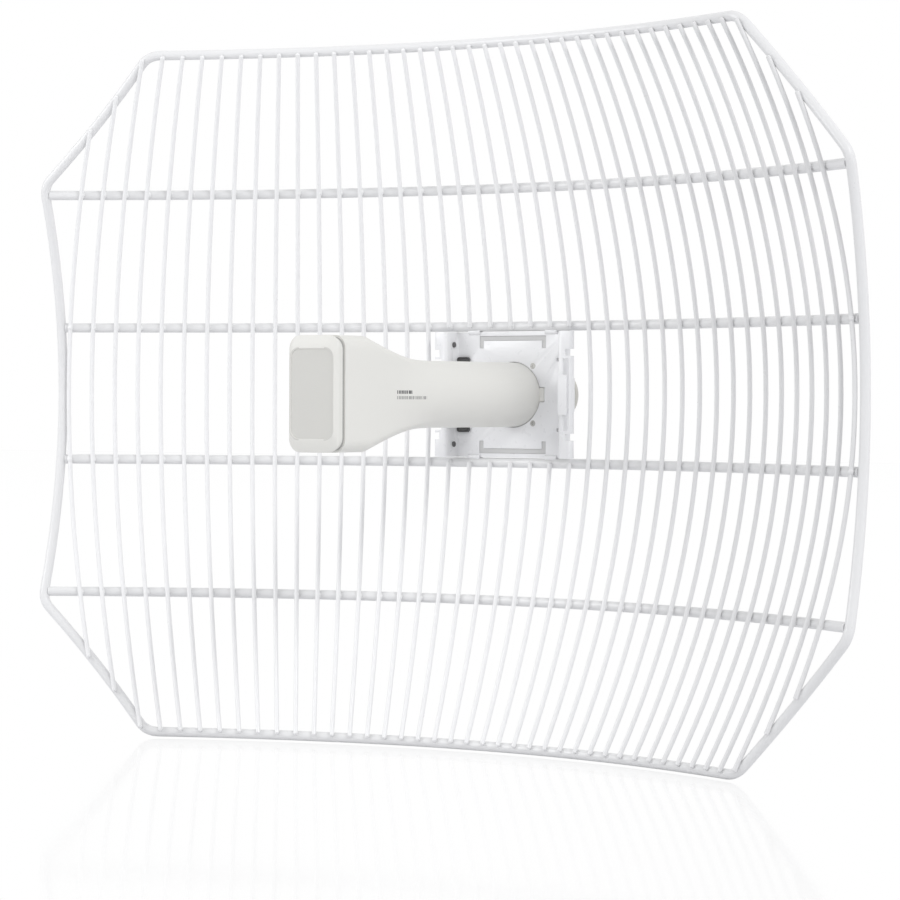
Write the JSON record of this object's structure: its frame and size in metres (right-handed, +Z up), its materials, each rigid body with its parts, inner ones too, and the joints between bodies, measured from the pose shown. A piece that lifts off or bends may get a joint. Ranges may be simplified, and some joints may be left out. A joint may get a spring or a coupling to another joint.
{
  "type": "parabolic grid antenna",
  "caption": "White wire-grid parabolic reflector with clipped corners and a plug-in box-headed feed that holds the radio.",
  "frame": {"origin": "on the boresight, in the rear face of the mounting plate", "axes": "+X to the antenna's right, +Z up, the reflector looks along -Y"},
  "size_m": [0.62, 0.2859, 0.46],
  "materials": {
    "coated_rod": "white powder coat",
    "coated_wire": "white powder coat",
    "coated_sheet": "white powder coat",
    "socket_plastic": "fine matt texture",
    "screw_steel": "zinc plated",
    "spring_steel": "bright drawn wire",
    "housing_plastic": "fine matt moulded texture",
    "cap_plastic": "fine matt moulded texture",
    "seal_rubber": "soft matt",
    "board_laminate": "solder mask",
    "contact_brass": "gold plated",
    "insulator_plastic": "plain moulded",
    "tinned_steel": "tin plated",
    "jack_metal": "nickel plated",
    "clear_plastic": "clear moulded",
    "button_plastic": "plain moulded"
  },
  "bodies": {
    "reflector": {"rim_rod": "coated_rod", "rib_top": "coated_rod", "rib_upper": "coated_rod", "rib_lower": "coated_rod", "rib_bottom": "coated_rod", "wires_left": "coated_wire", "wires_right": "coated_wire", "wires_upper": "coated_wire", "wires_lower": "coated_wire", "mounting_plate": "coated_sheet", "plate_welds": "coated_sheet", "feed_socket": "socket_plastic", "socket_screws": "screw_steel", "lock_clip": "spring_steel", "release_spring": "spring_steel"},
    "release_tab": {"release_tab": "coated_sheet"},
    "feed": {"feed_housing": "housing_plastic", "front_cover": "housing_plastic", "cover_gasket": "seal_rubber", "radio_board": "board_laminate", "dipole_arms": "contact_brass", "dipole_support": "insulator_plastic", "sub_reflector": "tinned_steel", "shield_cans": "tinned_steel", "ethernet_jack": "jack_metal", "jack_contacts": "contact_brass", "port_bulkhead": "insulator_plastic", "light_pipes": "clear_plastic", "status_leds": "clear_plastic", "reset_switch": "button_plastic"},
    "reset_button": {"reset_button": "button_plastic"},
    "port_cap": {"port_cap": "cap_plastic", "port_seal": "seal_rubber", "cable_grommet": "seal_rubber"}
  },
  "joints": [
    {"name": "feed_slide", "type": "slide", "parent": "reflector", "child": "feed", "axis": [0, -1, 0], "range_m": [0, 0.08], "deforming": ["lock_clip"]},
    {"name": "cap_slide", "type": "slide", "parent": "feed", "child": "port_cap", "axis": [0, 1, 0], "range_m": [0, 0.016]},
    {"name": "release_tab_pull", "type": "slide", "parent": "reflector", "child": "release_tab", "axis": [1, 0, 0], "range_m": [0, 0.003], "stiffness_N_per_m": 400, "deforming": ["release_spring"]},
    {"name": "reset_button_press", "type": "slide", "parent": "feed", "child": "reset_button", "axis": [0, -1, 0], "range_m": [0, 0.0006], "stiffness_N_per_m": 400}
  ]
}
